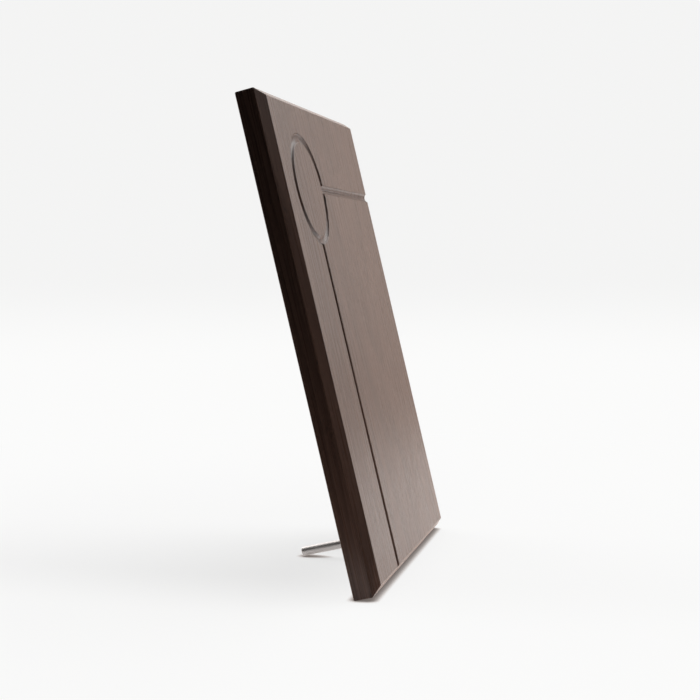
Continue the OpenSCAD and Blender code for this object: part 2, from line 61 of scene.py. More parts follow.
class Finish:
    """A material built on one Principled shader, in the slab's own directions: X across, Y deep, Z along."""

    def __init__(self, name, colour, roughness, **sockets):
        self.material = bpy.data.materials.new(name)
        self.material.use_nodes = True
        self.tree = self.material.node_tree
        self.shader = self.tree.nodes["Principled BSDF"]
        self.set("Base Color", colour)
        self.set("Roughness", roughness)
        for socket, value in sockets.items():
            self.set(socket.replace("_", " "), value)
        place = self.node("TexCoord")
        turned = self.node("Mapping", Vector=place.outputs["Object"], Rotation=(lean, 0, 0))
        self.place = turned.outputs[0]

    def set(self, socket, value):
        """Sets a socket of the shader to a number or colour, or links a node's output to it."""
        if isinstance(value, bpy.types.NodeSocket):
            self.tree.links.new(value, self.shader.inputs[socket])
        elif isinstance(value, tuple):
            self.shader.inputs[socket].default_value = (*value, 1)
        else:
            self.shader.inputs[socket].default_value = value

    def node(self, kind, settings=None, **inputs):
        """Adds a node; its inputs go by name, or by place as i0, i1 and so on."""
        made = self.tree.nodes.new("ShaderNode" + kind)
        for key, value in (settings or {}).items():
            setattr(made, key, value)
        for key, value in inputs.items():
            socket = made.inputs[int(key[1:])] if key[0] == "i" and key[1:].isdigit() else made.inputs[key]
            if isinstance(value, bpy.types.NodeSocket):
                self.tree.links.new(value, socket)
            else:
                socket.default_value = value
        return made

    def math(self, operation, a, b=0.0):
        return self.node("Math", {"operation": operation}, i0=a, i1=b).outputs[0]

    def stretched(self, x, y, z):
        """The place, scaled: features are 1/x metres wide across the slab, 1/y deep and 1/z long."""
        return self.node("Mapping", Vector=self.place, Scale=(x, y, z)).outputs[0]

    def noise(self, x, y, z, detail=2.0, rough=0.5, warp=0.0):
        made = self.node("TexNoise", Vector=self.stretched(x, y, z), Scale=1.0, Detail=detail)
        made.inputs["Roughness"].default_value = rough
        made.inputs["Distortion"].default_value = warp
        return made.outputs[0]

    def cells(self, x, y, z, feature="F1"):
        made = self.node("TexVoronoi", {"feature": feature}, Vector=self.stretched(x, y, z), Scale=1.0)
        return made.outputs["Distance"]

    def span(self, value, low, high, to_low=0.0, to_high=1.0):
        """Maps low..high to to_low..to_high, clamped and eased."""
        made = self.node("MapRange", {"interpolation_type": "SMOOTHSTEP"}, Value=value)
        for key, number in (("From Min", low), ("From Max", high), ("To Min", to_low), ("To Max", to_high)):
            made.inputs[key].default_value = number
        return made.outputs[0]

    def ramp(self, value, *stops):
        """Colours at places from 0 to 1 along a value."""
        made = self.node("ValToRGB", Fac=value)
        elements = made.color_ramp.elements
        for _ in range(len(stops) - 2):
            elements.new(0.5)
        for element, (place, colour) in zip(elements, stops):
            element.position = place
            element.color = (*colour, 1)
        return made.outputs[0]

    def blend(self, amount, a, b):
        """Colour a where the amount is 0 and colour b where it is 1."""
        return self.node("Mix", {"data_type": "RGBA"}, i0=amount, i6=a, i7=b).outputs[2]

    def shade(self, colour, value, spread):
        """The colour, darker where the value is low and lighter where it is high."""
        dark = tuple(c * (1 - spread) for c in colour)
        light = tuple(min(1.0, c * (1 + spread)) for c in colour)
        return self.ramp(value, (0.3, dark), (0.7, light))

    def lines(self, axis, pitch, share):
        """1 on stripes that repeat along an axis of the slab, 0 between them."""
        along = self.node("SeparateXYZ", Vector=self.place).outputs[axis]
        phase = self.math("FRACT", self.math("MULTIPLY", along, 1 / pitch))
        return self.math("LESS_THAN", phase, share)

    def edge(self, radius):
        """1 along sharp edges, falling to 0 on flat faces."""
        rounded = self.node("Bevel", {"samples": 4}, Radius=radius)
        true = self.node("NewGeometry")
        same = self.node("VectorMath", {"operation": "DOT_PRODUCT"}, i0=rounded.outputs[0],
                         i1=true.outputs["Normal"])
        return self.span(same.outputs["Value"], 0.99, 0.85)

    def end_face(self):
        """1 on the faces at the two ends of the slab, where the fibres are cut across."""
        facing = self.node("TexCoord").outputs["Normal"]
        turned = self.node("Mapping", {"vector_type": "NORMAL"}, Vector=facing, Rotation=(lean, 0, 0))
        along = self.node("SeparateXYZ", Vector=turned.outputs[0]).outputs["Z"]
        return self.span(self.math("ABSOLUTE", along), 0.85, 0.97)

    def bump(self, height, depth, strength=1.0):
        made = self.node("Bump", Height=height, Distance=depth, Strength=strength)
        self.tree.links.new(made.outputs[0], self.shader.inputs["Normal"])


def put_on(finish, name):
    for slot in nodes[name].material_slots:
        slot.material = finish.material


# Materials --------------------------------------------------------------------

def walnut():
    """Dark walnut: growth rings round a heart that lies behind the slab, wide streaks, fibres and pores."""
    made = Finish("walnut_oiled", (0.09, 0.055, 0.04), 0.3, Specular_IOR_Level=0.3,
                  Sheen_Weight=0.4, Sheen_Roughness=0.4, Sheen_Tint=(1.0, 0.66, 0.50))
    heart = made.node("VectorMath", {"operation": "SUBTRACT"}, i0=made.place, i1=(0.03, 0.16, 0.0))
    flat = made.node("VectorMath", {"operation": "MULTIPLY"}, i0=heart.outputs[0], i1=(1.0, 1.0, 0.0))
    radius = made.node("VectorMath", {"operation": "LENGTH"}, i0=flat.outputs[0]).outputs["Value"]
    sway = made.noise(9, 9, 3.2, detail=2)
    ring = made.math("ADD", made.math("MULTIPLY", radius, 300), made.math("MULTIPLY", sway, 9.0))
    ring = made.math("FRACT", ring)
    late = made.math("MULTIPLY", made.span(ring, 0.15, 0.9), made.span(ring, 1.0, 0.93))
    streak = made.noise(42, 42, 2.4, detail=4, rough=0.6)
    fibre = made.noise(1500, 1500, 22, detail=3, rough=0.6)
    tone = made.math("ADD", made.math("MULTIPLY", streak, 0.62), made.math("MULTIPLY", fibre, 0.3))
    tone = made.math("SUBTRACT", tone, made.math("MULTIPLY", late, 0.14))
    colour = made.ramp(tone, (0.18, (0.038, 0.018, 0.012)), (0.40, (0.080, 0.040, 0.028)),
                       (0.55, (0.108, 0.057, 0.041)), (0.75, (0.150, 0.086, 0.062)))
    pore = made.span(made.cells(1150, 1150, 120), 0.26, 0.12)
    deep = made.span(made.noise(260, 260, 30), 0.45, 0.6)
    pore = made.math("MULTIPLY", pore, deep)
    colour = made.blend(made.math("MULTIPLY", pore, 0.75), colour, (0.018, 0.010, 0.007, 1))
    end = made.end_face()
    made.set("Base Color", made.blend(made.math("MULTIPLY", end, 0.45), colour, (0.020, 0.011, 0.008, 1)))
    rough = made.math("ADD", made.span(fibre, 0.3, 0.7, 0.25, 0.34), made.math("MULTIPLY", pore, 0.2))
    made.set("Roughness", made.math("ADD", rough, made.math("MULTIPLY", end, 0.25)))
    height = made.math("SUBTRACT", made.math("MULTIPLY", fibre, 0.5), pore)
    made.bump(height, 0.02 * MM, 0.6)
    return made


def moulded(name, colour, roughness, grain=2600, depth=0.02, **sockets):
    """Plastic from a spark-eroded mould: a fine even grain, rubbed a little smoother along the edges."""
    made = Finish(name, colour, roughness, **sockets)
    pits = made.noise(grain, grain, grain, detail=3, rough=0.55)
    cloud = made.noise(55, 55, 55, detail=3)
    rubbed = made.edge(0.25 * MM)
    worn = tuple(min(1.0, c * 1.3 + 0.01) for c in colour)
    made.set("Base Color", made.blend(made.math("MULTIPLY", rubbed, 0.5), made.shade(colour, cloud, 0.1),
                                      (*worn, 1)))
    dull = made.span(pits, 0.3, 0.7, roughness - 0.05, roughness + 0.07)
    made.set("Roughness", made.math("SUBTRACT", dull, made.math("MULTIPLY", rubbed, 0.1)))
    made.bump(pits, depth * MM, 0.7)
    return made


def brushed(name, colour, roughness, grain, depth=0.006):
    """Bare metal with fine lines; grain gives how many lie in a metre across, deep and along the slab."""
    made = Finish(name, colour, roughness, Metallic=1.0)
    line = made.noise(*grain, detail=4, rough=0.65)
    smudge = made.noise(90, 90, 90, detail=4, rough=0.6)
    mottle = made.math("MULTIPLY", made.math("ADD", line, smudge), 0.5)
    made.set("Base Color", made.shade(colour, mottle, 0.12))
    dull = made.span(line, 0.3, 0.7, roughness - 0.05, roughness + 0.06)
    made.set("Roughness", made.math("ADD", dull, made.span(smudge, 0.5, 0.75, 0.0, 0.07)))
    made.bump(line, depth * MM, 0.6)
    return made


def solder_mask(name, colour, copper):
    """Lacquered circuit board: copper tracks show through as paler lines, with small plated holes."""
    made = Finish(name, colour, 0.3, Coat_Weight=0.4, Coat_Roughness=0.15)
    cell = made.node("TexVoronoi", {"distance": "CHEBYCHEV"}, Vector=made.stretched(75, 0, 75), Scale=1.0)
    turn = made.math("FRACT", made.math("MULTIPLY", cell.outputs["Distance"], 14))
    track = made.math("MULTIPLY", made.span(turn, 0.1, 0.2), made.span(turn, 0.6, 0.5))
    hole = made.span(made.cells(260, 0, 260), 0.12, 0.08)
    tone = made.blend(made.math("MULTIPLY", track, 0.5), (*colour, 1), (*copper, 1))
    made.set("Base Color", made.blend(hole, tone, (0.55, 0.50, 0.36, 1)))
    made.bump(track, 0.03 * MM, 0.5)
    return made


def wire_sheath(name, colour):
    """Soft vinyl sheath with the faint twist of the strands under it."""
    made = Finish(name, colour, 0.42, Sheen_Weight=0.1)
    strand = made.noise(1800, 1800, 300, detail=2, warp=0.4)
    made.set("Base Color", made.shade(colour, made.noise(300, 300, 300, detail=3), 0.2))
    made.set("Roughness", made.span(strand, 0.3, 0.7, 0.36, 0.5))
    made.bump(strand, 0.03 * MM, 0.4)
    return made


def cover_plastic():
    return moulded("cover_charcoal_plastic", (0.024, 0.023, 0.023), 0.46, depth=0.03)


def button_plastic():
    return moulded("button_satin_plastic", (0.045, 0.044, 0.044), 0.34, grain=4200, depth=0.008)


def black_plastic():
    return moulded("moulded_black_plastic", (0.016, 0.016, 0.017), 0.38, grain=3500)


def ivory_plastic():
    return moulded("natural_nylon", (0.72, 0.67, 0.55), 0.42, grain=3000, depth=0.01, Subsurface_Weight=0.15,
                   Subsurface_Scale=0.4 * MM)


def chip_resin():
    return moulded("moulded_epoxy", (0.018, 0.018, 0.020), 0.52, grain=5200, depth=0.01)


def dark_steel():
    """Black oxide: a thin dark skin on steel, brown where it is rubbed."""
    made = brushed("black_oxide_steel", (0.060, 0.057, 0.055), 0.34, (900, 6000, 900), depth=0.008)
    rubbed = made.edge(0.12 * MM)
    cloud = made.shade((0.060, 0.057, 0.055), made.noise(500, 500, 500, detail=4), 0.3)
    made.set("Base Color", made.blend(made.math("MULTIPLY", rubbed, 0.6), cloud, (0.22, 0.20, 0.18, 1)))
    return made


def brass():
    return brushed("turned_brass", (0.72, 0.52, 0.22), 0.24, (300, 9000, 300))


def sheet_steel():
    return brushed("pressed_sheet_steel", (0.60, 0.61, 0.62), 0.30, (5200, 5200, 90))


def bracket_aluminium():
    """Bead blasted: small round dents all over."""
    made = brushed("blasted_aluminium", (0.70, 0.71, 0.73), 0.40, (2600, 2600, 2600))
    made.bump(made.cells(3200, 3200, 3200), 0.02 * MM, 0.5)
    return made


def zinc_steel():
    """Zinc plate: a faint bluish spangle over turned steel."""
    made = brushed("zinc_plated_steel", (0.58, 0.60, 0.64), 0.30, (700, 7000, 700))
    spangle = made.cells(900, 900, 900)
    made.set("Base Color", made.ramp(spangle, (0.1, (0.50, 0.52, 0.57)), (0.9, (0.68, 0.69, 0.70))))
    return made


def inlet_steel():
    return brushed("plated_inlet_shell", (0.68, 0.68, 0.70), 0.22, (4500, 200, 4500))


def socket_steel():
    return brushed("turned_socket_steel", (0.60, 0.59, 0.58), 0.27, (400, 8500, 400))


def peg_steel():
    """Drawn rod with a satin polish: fine lines run along it."""
    return brushed("satin_drawn_rod", (0.66, 0.62, 0.60), 0.48, (5200, 120, 5200), depth=0.008)


def magnet():
    """Bright nickel plate with a soft orange-peel surface."""
    made = brushed("nickel_plate", (0.66, 0.65, 0.61), 0.14, (1500, 1500, 1500))
    made.bump(made.noise(900, 900, 900, detail=2), 0.02 * MM, 0.4)
    return made


def grille_metal():
    """Thin black powder coat on sheet, a little bare at the rims of the holes."""
    made = moulded("black_powder_coat", (0.030, 0.029, 0.029), 0.44, grain=3600, depth=0.02, Metallic=0.2)
    rim = made.edge(0.1 * MM)
    made.set("Base Color", made.blend(made.math("MULTIPLY", rim, 0.35), (0.030, 0.029, 0.029, 1),
                                      (0.12, 0.115, 0.11, 1)))
    return made


def clear_window():
    """Clear acrylic sheet with a faint haze and tiny polish lines."""
    made = Finish("clear_acrylic", (0.90, 0.93, 0.93), 0.05, Transmission_Weight=1.0, IOR=1.49)
    haze = made.noise(70, 70, 70, detail=4)
    made.set("Base Color", made.shade((0.90, 0.93, 0.93), haze, 0.03))
    made.set("Roughness", made.span(haze, 0.35, 0.7, 0.02, 0.10))
    made.bump(made.noise(3800, 3800, 60, detail=3), 0.002 * MM, 0.3)
    return made


def screen_glass():
    """Dark polished screen: rows and columns of cells just show under the glass."""
    made = Finish("dark_screen_glass", (0.010, 0.012, 0.018), 0.08, Coat_Weight=0.6, Coat_Roughness=0.03)
    row, column = made.lines("Z", 0.16 * MM, 0.2), made.lines("X", 0.16 * MM, 0.2)
    grid = made.math("MAXIMUM", row, column)
    made.set("Base Color", made.blend(grid, (0.010, 0.012, 0.018, 1), (0.004, 0.004, 0.006, 1)))
    made.set("Roughness", made.span(made.noise(120, 120, 120, detail=3), 0.4, 0.7, 0.05, 0.14))
    return made


def light_guide():
    """Milky acrylic with a field of small printed dots that let the light out."""
    made = Finish("milky_acrylic", (0.88, 0.90, 0.91), 0.22, Subsurface_Weight=0.3, Subsurface_Scale=1 * MM)
    dot = made.span(made.cells(1200, 1200, 1200), 0.35, 0.28)
    made.set("Base Color", made.blend(dot, (0.84, 0.87, 0.88, 1), (0.97, 0.97, 0.95, 1)))
    made.bump(dot, 0.02 * MM, 0.4)
    return made


def lamp_strip():
    """White lacquered strip with a yellow lamp at each step along it."""
    made = Finish("white_lamp_strip", (0.86, 0.86, 0.83), 0.32, Coat_Weight=0.3)
    lamp = made.lines("X", 6 * MM, 0.5)
    cloud = made.shade((0.86, 0.86, 0.83), made.noise(200, 200, 200, detail=3), 0.06)
    made.set("Base Color", made.blend(lamp, cloud, (0.88, 0.70, 0.16, 1)))
    made.bump(lamp, 0.05 * MM, 0.5)
    return made


def flex_film():
    """Amber polyimide film with copper conductors showing through."""
    made = Finish("amber_flex_film", (0.50, 0.22, 0.05), 0.26, Coat_Weight=0.3, Coat_Roughness=0.1)
    wire = made.lines("X", 1.0 * MM, 0.55)
    made.set("Base Color", made.blend(wire, (0.55, 0.24, 0.05, 1), (0.34, 0.12, 0.03, 1)))
    made.bump(made.math("ADD", wire, made.noise(120, 120, 120, detail=2)), 0.02 * MM, 0.4)
    return made


def circuit_board():
    return solder_mask("green_solder_mask", (0.010, 0.105, 0.045), (0.05, 0.25, 0.10))


def touch_board():
    return solder_mask("blue_solder_mask", (0.010, 0.055, 0.150), (0.04, 0.14, 0.30))


def ferrite():
    """Pressed and fired ferrite: dull grey with small bright grains."""
    made = Finish("fired_ferrite", (0.055, 0.055, 0.060), 0.5)
    speck = made.span(made.cells(2600, 2600, 2600), 0.2, 0.1)
    made.set("Base Color", made.blend(made.math("MULTIPLY", speck, 0.6), (0.05, 0.05, 0.055, 1),
                                      (0.16, 0.16, 0.17, 1)))
    made.bump(made.noise(3000, 3000, 3000, detail=3), 0.02 * MM, 0.6)
    return made


def black_wire():
    return wire_sheath("black_wire_sheath", (0.012, 0.012, 0.013))


def red_wire():
    return wire_sheath("red_wire_sheath", (0.42, 0.025, 0.018))


def battery_foil():
    """Laminated foil pouch: satin silver that has crinkled a little while it was sealed."""
    made = Finish("laminated_foil", (0.56, 0.57, 0.59), 0.30, Metallic=0.85)
    crinkle = made.noise(170, 170, 170, detail=5, rough=0.6, warp=0.8)
    made.set("Base Color", made.shade((0.56, 0.57, 0.59), crinkle, 0.12))
    made.set("Roughness", made.span(crinkle, 0.3, 0.7, 0.24, 0.38))
    made.bump(crinkle, 0.25 * MM, 0.5)
    return made


def foam():
    """Closed-cell foam: small round cells with paler walls."""
    made = Finish("closed_cell_foam", (0.030, 0.030, 0.031), 0.85, Sheen_Weight=0.2)
    wall = made.span(made.cells(2300, 2300, 2300, "DISTANCE_TO_EDGE"), 0.12, 0.02)
    made.set("Base Color", made.blend(wall, (0.022, 0.022, 0.023, 1), (0.07, 0.07, 0.072, 1)))
    made.bump(wall, 0.12 * MM, 0.8)
    return made


def cone_rubber():
    """Soft matt rubber with a light bloom."""
    made = Finish("soft_cone_rubber", (0.020, 0.020, 0.022), 0.6, Sheen_Weight=0.15)
    bloom = made.noise(220, 220, 220, detail=4, rough=0.6)
    made.set("Base Color", made.ramp(bloom, (0.35, (0.016, 0.016, 0.017)), (0.75, (0.045, 0.045, 0.047))))
    made.set("Roughness", made.span(bloom, 0.3, 0.7, 0.5, 0.7))
    made.bump(made.noise(4200, 4200, 4200, detail=2), 0.02 * MM, 0.5)
    return made


def contact_gold():
    """Thin gold plate over nickel."""
    return brushed("contact_gold", (0.85, 0.60, 0.22), 0.2, (900, 5200, 900), depth=0.002)


def print_ink():
    """Pale grey ink, slightly uneven, as it is pad printed on a key."""
    made = Finish("pale_key_ink", (0.52, 0.52, 0.50), 0.5)
    speckle = made.noise(3600, 3600, 3600, detail=3, rough=0.6)
    made.set("Base Color", made.shade((0.52, 0.52, 0.50), speckle, 0.12))
    made.set("Roughness", made.span(speckle, 0.3, 0.7, 0.42, 0.6))
    made.bump(speckle, 0.01 * MM, 0.6)
    return made


SLOT_LOOKS = {look.__name__: look for look in (
    walnut, cover_plastic, dark_steel, brass, clear_window, screen_glass, light_guide, lamp_strip,
    sheet_steel, bracket_aluminium, zinc_steel, flex_film, circuit_board, chip_resin, ferrite,
    ivory_plastic, black_wire, red_wire, battery_foil, foam, inlet_steel, black_plastic,
    button_plastic, magnet, cone_rubber, grille_metal, touch_board, socket_steel, peg_steel)}
finishes = {slot["slot"]: SLOT_LOOKS[slot["slot"]]() for slot in frame["record"]["materials"]}
for part in frame["record"]["subparts"]:
    put_on(finishes[part["material_slot"]], part["node"])


# Edges --------------------------------------------------------------------------

# An edge is sharp, and gets rounded, where its faces turn by more than this
SHARP = math.radians(25)


def shading_group():
    """Merges the loose faces of an imported mesh and shades it smooth except at its edges."""
    group = bpy.data.node_groups.new("clean_shading", "GeometryNodeTree")
    group.interface.new_socket("Geometry", in_out="INPUT", socket_type="NodeSocketGeometry")
    group.interface.new_socket("Geometry", in_out="OUTPUT", socket_type="NodeSocketGeometry")
    new, link = group.nodes.new, group.links.new
    begin, end = new("NodeGroupInput"), new("NodeGroupOutput")
    merge = new("GeometryNodeMergeByDistance")
    merge.inputs["Distance"].default_value = 0.001 * MM
    forget = new("GeometryNodeRemoveAttribute")
    forget.inputs["Name"].default_value = "custom_normal"
    smooth, sharp = new("GeometryNodeSetShadeSmooth"), new("GeometryNodeSetShadeSmooth")
    sharp.domain = "EDGE"
    sharp.inputs["Shade Smooth"].default_value = False
    angle, over = new("GeometryNodeInputMeshEdgeAngle"), new("FunctionNodeCompare")
    over.inputs["B"].default_value = SHARP
    link(begin.outputs[0], merge.inputs["Geometry"])
    link(merge.outputs[0], forget.inputs["Geometry"])
    link(forget.outputs[0], smooth.inputs["Geometry"])
    link(smooth.outputs[0], sharp.inputs["Geometry"])
    link(angle.outputs["Unsigned Angle"], over.inputs["A"])
    link(over.outputs[0], sharp.inputs["Selection"])
    link(sharp.outputs[0], end.inputs[0])
    return group


CLEAN = shading_group()


def soften(name, width):
    """Cleans a piece's imported mesh and rounds its edges, with modifiers only."""
    piece = nodes[name]
    clean = piece.modifiers.new("clean", "NODES")
    clean.node_group = CLEAN
    flat = piece.modifiers.new("flat", "DECIMATE")
    flat.decimate_type = "DISSOLVE"
    flat.angle_limit = math.radians(0.2)
    round_off = piece.modifiers.new("round", "BEVEL")
    round_off.width = width
    round_off.segments = 2
    round_off.limit_method = "ANGLE"
    round_off.angle_limit = SHARP
    round_off.use_clamp_overlap = False
    round_off.harden_normals = True


# Width of the rounding along each piece's edges, in millimetres
EDGES = {
    "wood_body": 0.3, "back_cover": 0.14, "stand_peg": 0.12, "peg_socket": 0.1, "power_button": 0.12,
    "pair_button": 0.12, "speaker_grille": 0.06, "cover_screws": 0.08, "usb_socket": 0.05, "battery": 0.2}
for edged, width in EDGES.items():
    soften(edged, width * MM)


# Small pieces -------------------------------------------------------------------

def skin_of(*names):
    """A surface to lay small pieces on, turned upright."""
    points, faces = [], []
    for name in names:
        mesh = nodes[name].data
        first = len(points)
        points += [UPRIGHT @ vertex.co for vertex in mesh.vertices]
        faces += [[first + i for i in face.vertices] for face in mesh.polygons]
    return BVHTree.FromPolygons(points, faces)


def depth_at(skin, x, z):
    """How far out of the back the skin lies at a place."""
    hit = skin.ray_cast(Vector((x, 0.1, z)), Vector((0, -1, 0)))[0]
    return hit.y if hit else -1.0


def upright_box(name):
    """A node's lowest and highest corners in the slab's own directions."""
    points = [UPRIGHT @ vertex.co for vertex in nodes[name].data.vertices]
    return [min(p[i] for p in points) for i in range(3)], [max(p[i] for p in points) for i in range(3)]


def add_piece(name, points, faces, finish, body, slot, bevel=0.0):
    """Makes a mesh from upright points, leans it, and lets it ride on a body."""
    mesh = bpy.data.meshes.new(name)
    mesh.from_pydata([LEANT @ Vector(p) for p in points], [], faces)
    mesh.materials.append(finish.material)
    piece = bpy.data.objects.new(name, mesh)
    bpy.context.scene.collection.objects.link(piece)
    if bevel:
        rounded = piece.modifiers.new("round", "BEVEL")
        rounded.width = bevel
        rounded.segments = 2
        rounded.harden_normals = True
        mesh.shade_smooth()
    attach(piece, body)


def stroke(outer, inner, skin, height):
    """A raised band between two rows of (x, z) places that follows the skin under it."""
    points, faces = [], []
    for place in zip(outer, inner):
        for x, z in place:
            level = depth_at(skin, x, z)
            points += [(x, level + height, z), (x, level - height, z)]
    last = 4 * (len(outer) - 1)
    for k in range(0, last, 4):
        top, under, far, far_under = k, k + 1, k + 2, k + 3
        faces += [(top, top + 4, far + 4, far), (under, far_under, far_under + 4, under + 4),
                  (top, under, under + 4, top + 4), (far, far + 4, far_under + 4, far_under)]
    faces += [(0, 2, 3, 1), (last, last + 1, last + 3, last + 2)]
    return points, faces


def arc(centre, radius, start, end, steps=40):
    """Points along an arc, from one angle to another in degrees."""
    angles = [math.radians(start + (end - start) * i / steps) for i in range(steps + 1)]
    return [(centre[0] + radius * math.cos(a), centre[1] + radius * math.sin(a)) for a in angles]


def key_mark(name, button, body, strokes, ink=0.03 * MM):
    """Ink on a key: strokes are pairs of outlines, in millimetres from the middle of the key."""
    low, high = upright_box(button)
    middle_x, middle_z = (low[0] + high[0]) / 2, (low[2] + high[2]) / 2
    skin = skin_of(button)
    points, faces = [], []
    for outer, inner in strokes:
        rows = [[(middle_x + x * MM, middle_z + z * MM) for x, z in row] for row in (outer, inner)]
        more, rim = stroke(rows[0], rows[1], skin, ink)
        faces += [tuple(i + len(points) for i in face) for face in rim]
        points += more
    add_piece(name, points, faces, INK, body, "ivory_plastic")


def ring_stroke(centre, radius, start, end, width=0.3):
    """The outer and inner outline of a curved stroke of a key mark."""
    return arc(centre, radius + width / 2, start, end), arc(centre, radius - width / 2, start, end)


def bar_stroke(x, z_low, z_high, width=0.3, steps=6):
    """The left and right outline of a straight stroke of a key mark."""
    rise = [z_low + (z_high - z_low) * i / steps for i in range(steps + 1)]
    return [(x - width / 2, z) for z in rise], [(x + width / 2, z) for z in rise]


def block(low, high, points, faces):
    """Adds a block's corners and faces to the lists."""
    first = len(points)
    points += [(x, y, z) for x in (low[0], high[0]) for y in (low[1], high[1]) for z in (low[2], high[2])]
    faces += [tuple(first + i for i in face) for face in
              ((0, 1, 3, 2), (4, 6, 7, 5), (0, 4, 5, 1), (2, 3, 7, 6), (0, 2, 6, 4), (1, 5, 7, 3))]


def inlet_contacts(count=12):
    """Two rows of gold contacts on the inlet's tongue."""
    low, high = upright_box("usb_tongue")
    middle_x, middle_z = (low[0] + high[0]) / 2, (low[2] + high[2]) / 2
    pitch, width, tongue_t, proud = 0.5 * MM, 0.26 * MM, 0.7 * MM, 0.04 * MM
    root, tip = high[1] - 3.4 * MM, high[1] - 0.4 * MM
    points, faces = [], []
    for k in range(count):
        x = middle_x + (k - (count - 1) / 2) * pitch
        for side in (-1, 1):
            face_z = middle_z + side * tongue_t / 2
            z_low, z_high = sorted((face_z - side * proud, face_z + side * proud))
            block((x - width / 2, root, z_low), (x + width / 2, tip, z_high), points, faces)
    add_piece("inlet_contacts", points, faces, GOLD, "frame", "brass", bevel=0.02 * MM)


def chip_parts(count=110, tries=4000, seed=7):
    """Small capacitors and resistors, scattered over the free places of the main board."""
    crowd = ("main_board", "processor", "memory_chips", "wifi_module", "power_coils", "board_connectors",
             "board_screws", "board_standoffs", "display_cable", "touch_cable", "port_cable", "wifi_antenna",
             "antenna_lead", "battery_lead", "battery_plug", "speaker_lead", "battery", "battery_pad")
    # In millimetres: width, depth and height of each kind, the grid they lie on and the board's free rim
    kinds = ((1.6, 0.8, 0.5), (1.0, 0.5, 0.35))
    grid, margin = 0.5, 2
    # Free room round a part, least distance between two, and how level the board must be there
    room, apart, flat_within = 0.5 * MM, 2.2 * MM, 0.02 * MM
    # A part's body is a little smaller than its metal ends, each of which is a share of its length
    body_width, body_height, end_share = 0.98, 0.96, 0.22
    skin = skin_of(*crowd)
    low, high = upright_box("main_board")
    level = high[1]
    draw = random.Random(seed)

    def place_on(axis):
        """A random place along the board, on its grid and off its rim."""
        side = (high[axis] - low[axis]) / MM
        return low[axis] + round(draw.uniform(margin, side - margin) / grid) * grid * MM

    taken, bodies, ends = [], ([], []), ([], [])
    for _ in range(tries):
        if len(taken) == count:
            break
        across, along, tall = (side * MM for side in draw.choice(kinds))
        if draw.random() < 0.5:
            across, along = along, across
        x, z = place_on(0), place_on(2)
        reach_x, reach_z = across / 2 + room, along / 2 + room
        spots = [(x + i * reach_x, z + j * reach_z) for i in (-1, 0, 1) for j in (-1, 0, 1)]
        clear = all(abs(depth_at(skin, *spot) - level) < flat_within for spot in spots)
        if not clear or any(abs(x - a) < apart and abs(z - b) < apart for a, b in taken):
            continue
        taken.append((x, z))
        half_x, half_z = across / 2 * body_width, along / 2 * body_width
        block((x - half_x, level, z - half_z), (x + half_x, level + tall * body_height, z + half_z), *bodies)
        end = end_share * max(across, along)
        for side in (-1, 1):
            if across > along:
                x_low, x_high = sorted((x + side * across / 2, x + side * (across / 2 - end)))
                block((x_low, level, z - along / 2), (x_high, level + tall, z + along / 2), *ends)
            else:
                z_low, z_high = sorted((z + side * along / 2, z + side * (along / 2 - end)))
                block((x - across / 2, level, z_low), (x + across / 2, level + tall, z_high), *ends)
    add_piece("chip_part_bodies", *bodies, finishes["ferrite"], "frame", "ferrite", bevel=0.03 * MM)
    add_piece("chip_part_ends", *ends, finishes["zinc_steel"], "frame", "zinc_steel", bevel=0.03 * MM)


INK = print_ink()
GOLD = contact_gold()
key_mark("power_mark", "power_button", "power_button",
         [ring_stroke((0, -0.1), 1.35, 125, 415), bar_stroke(0, 0.1, 1.7)])
key_mark("pair_mark", "pair_button", "pair_button",
         [ring_stroke((0, -1.4), radius, 48, 132) for radius in (1.05, 1.9, 2.75)]
         + [ring_stroke((0, -1.4), 0.2, 0, 360)])
inlet_contacts()
chip_parts()


# Stage and camera ---------------------------------------------------------------

def sweep():
    """A round floor that curves up into a wall; only the camera sees it."""
    flat, curve, top, steps = 1.3, 0.8, 2.2, 96
    profile = [(0.0, 0.0), (flat, 0.0)]
    profile += [(flat + curve * math.sin(a), curve - curve * math.cos(a))
                for a in [math.radians(6 * i) for i in range(1, 16)]] + [(flat + curve, top)]
    mesh = bpy.data.meshes.new("sweep")
    points = [(0.0, 0.0, 0.0)]
    for r, z in profile[1:]:
        points += [(r * math.cos(2 * math.pi * i / steps), r * math.sin(2 * math.pi * i / steps), z)
                   for i in range(steps)]
    faces = [(0, 1 + i, 1 + (i + 1) % steps) for i in range(steps)]
    for ring in range(len(profile) - 2):
        a, b = 1 + ring * steps, 1 + (ring + 1) * steps
        faces += [(a + i, b + i, b + (i + 1) % steps, a + (i + 1) % steps) for i in range(steps)]
    mesh.from_pydata(points, [], faces)
    mesh.shade_smooth()
    made = bpy.data.objects.new("sweep", mesh)
    bpy.context.scene.collection.objects.link(made)
    made.visible_diffuse = made.visible_glossy = made.visible_shadow = False
    return made


def board(name, low, high, z):
    """A flat rectangle of floor that throws light back up; the camera doesn't see it."""
    mesh = bpy.data.meshes.new(name)
    corners = [(low[0], low[1], z), (high[0], low[1], z), (high[0], high[1], z), (low[0], high[1], z)]
    mesh.from_pydata(corners, [], [(0, 1, 2, 3)])
    made = bpy.data.objects.new(name, mesh)
    bpy.context.scene.collection.objects.link(made)
    made.visible_camera = False
    return made


def paper(name, shade, glow):
    """White studio paper that glows a little and bounces light."""
    material = bpy.data.materials.new(name)
    material.use_nodes = True
    shader = material.node_tree.nodes["Principled BSDF"]
    shader.inputs["Roughness"].default_value = 0.3
    shader.inputs["Base Color"].default_value = (shade, shade, shade, 1)
    shader.inputs["Emission Color"].default_value = (1.0, 1.0, 0.996, 1)
    shader.inputs["Emission Strength"].default_value = glow
    return material


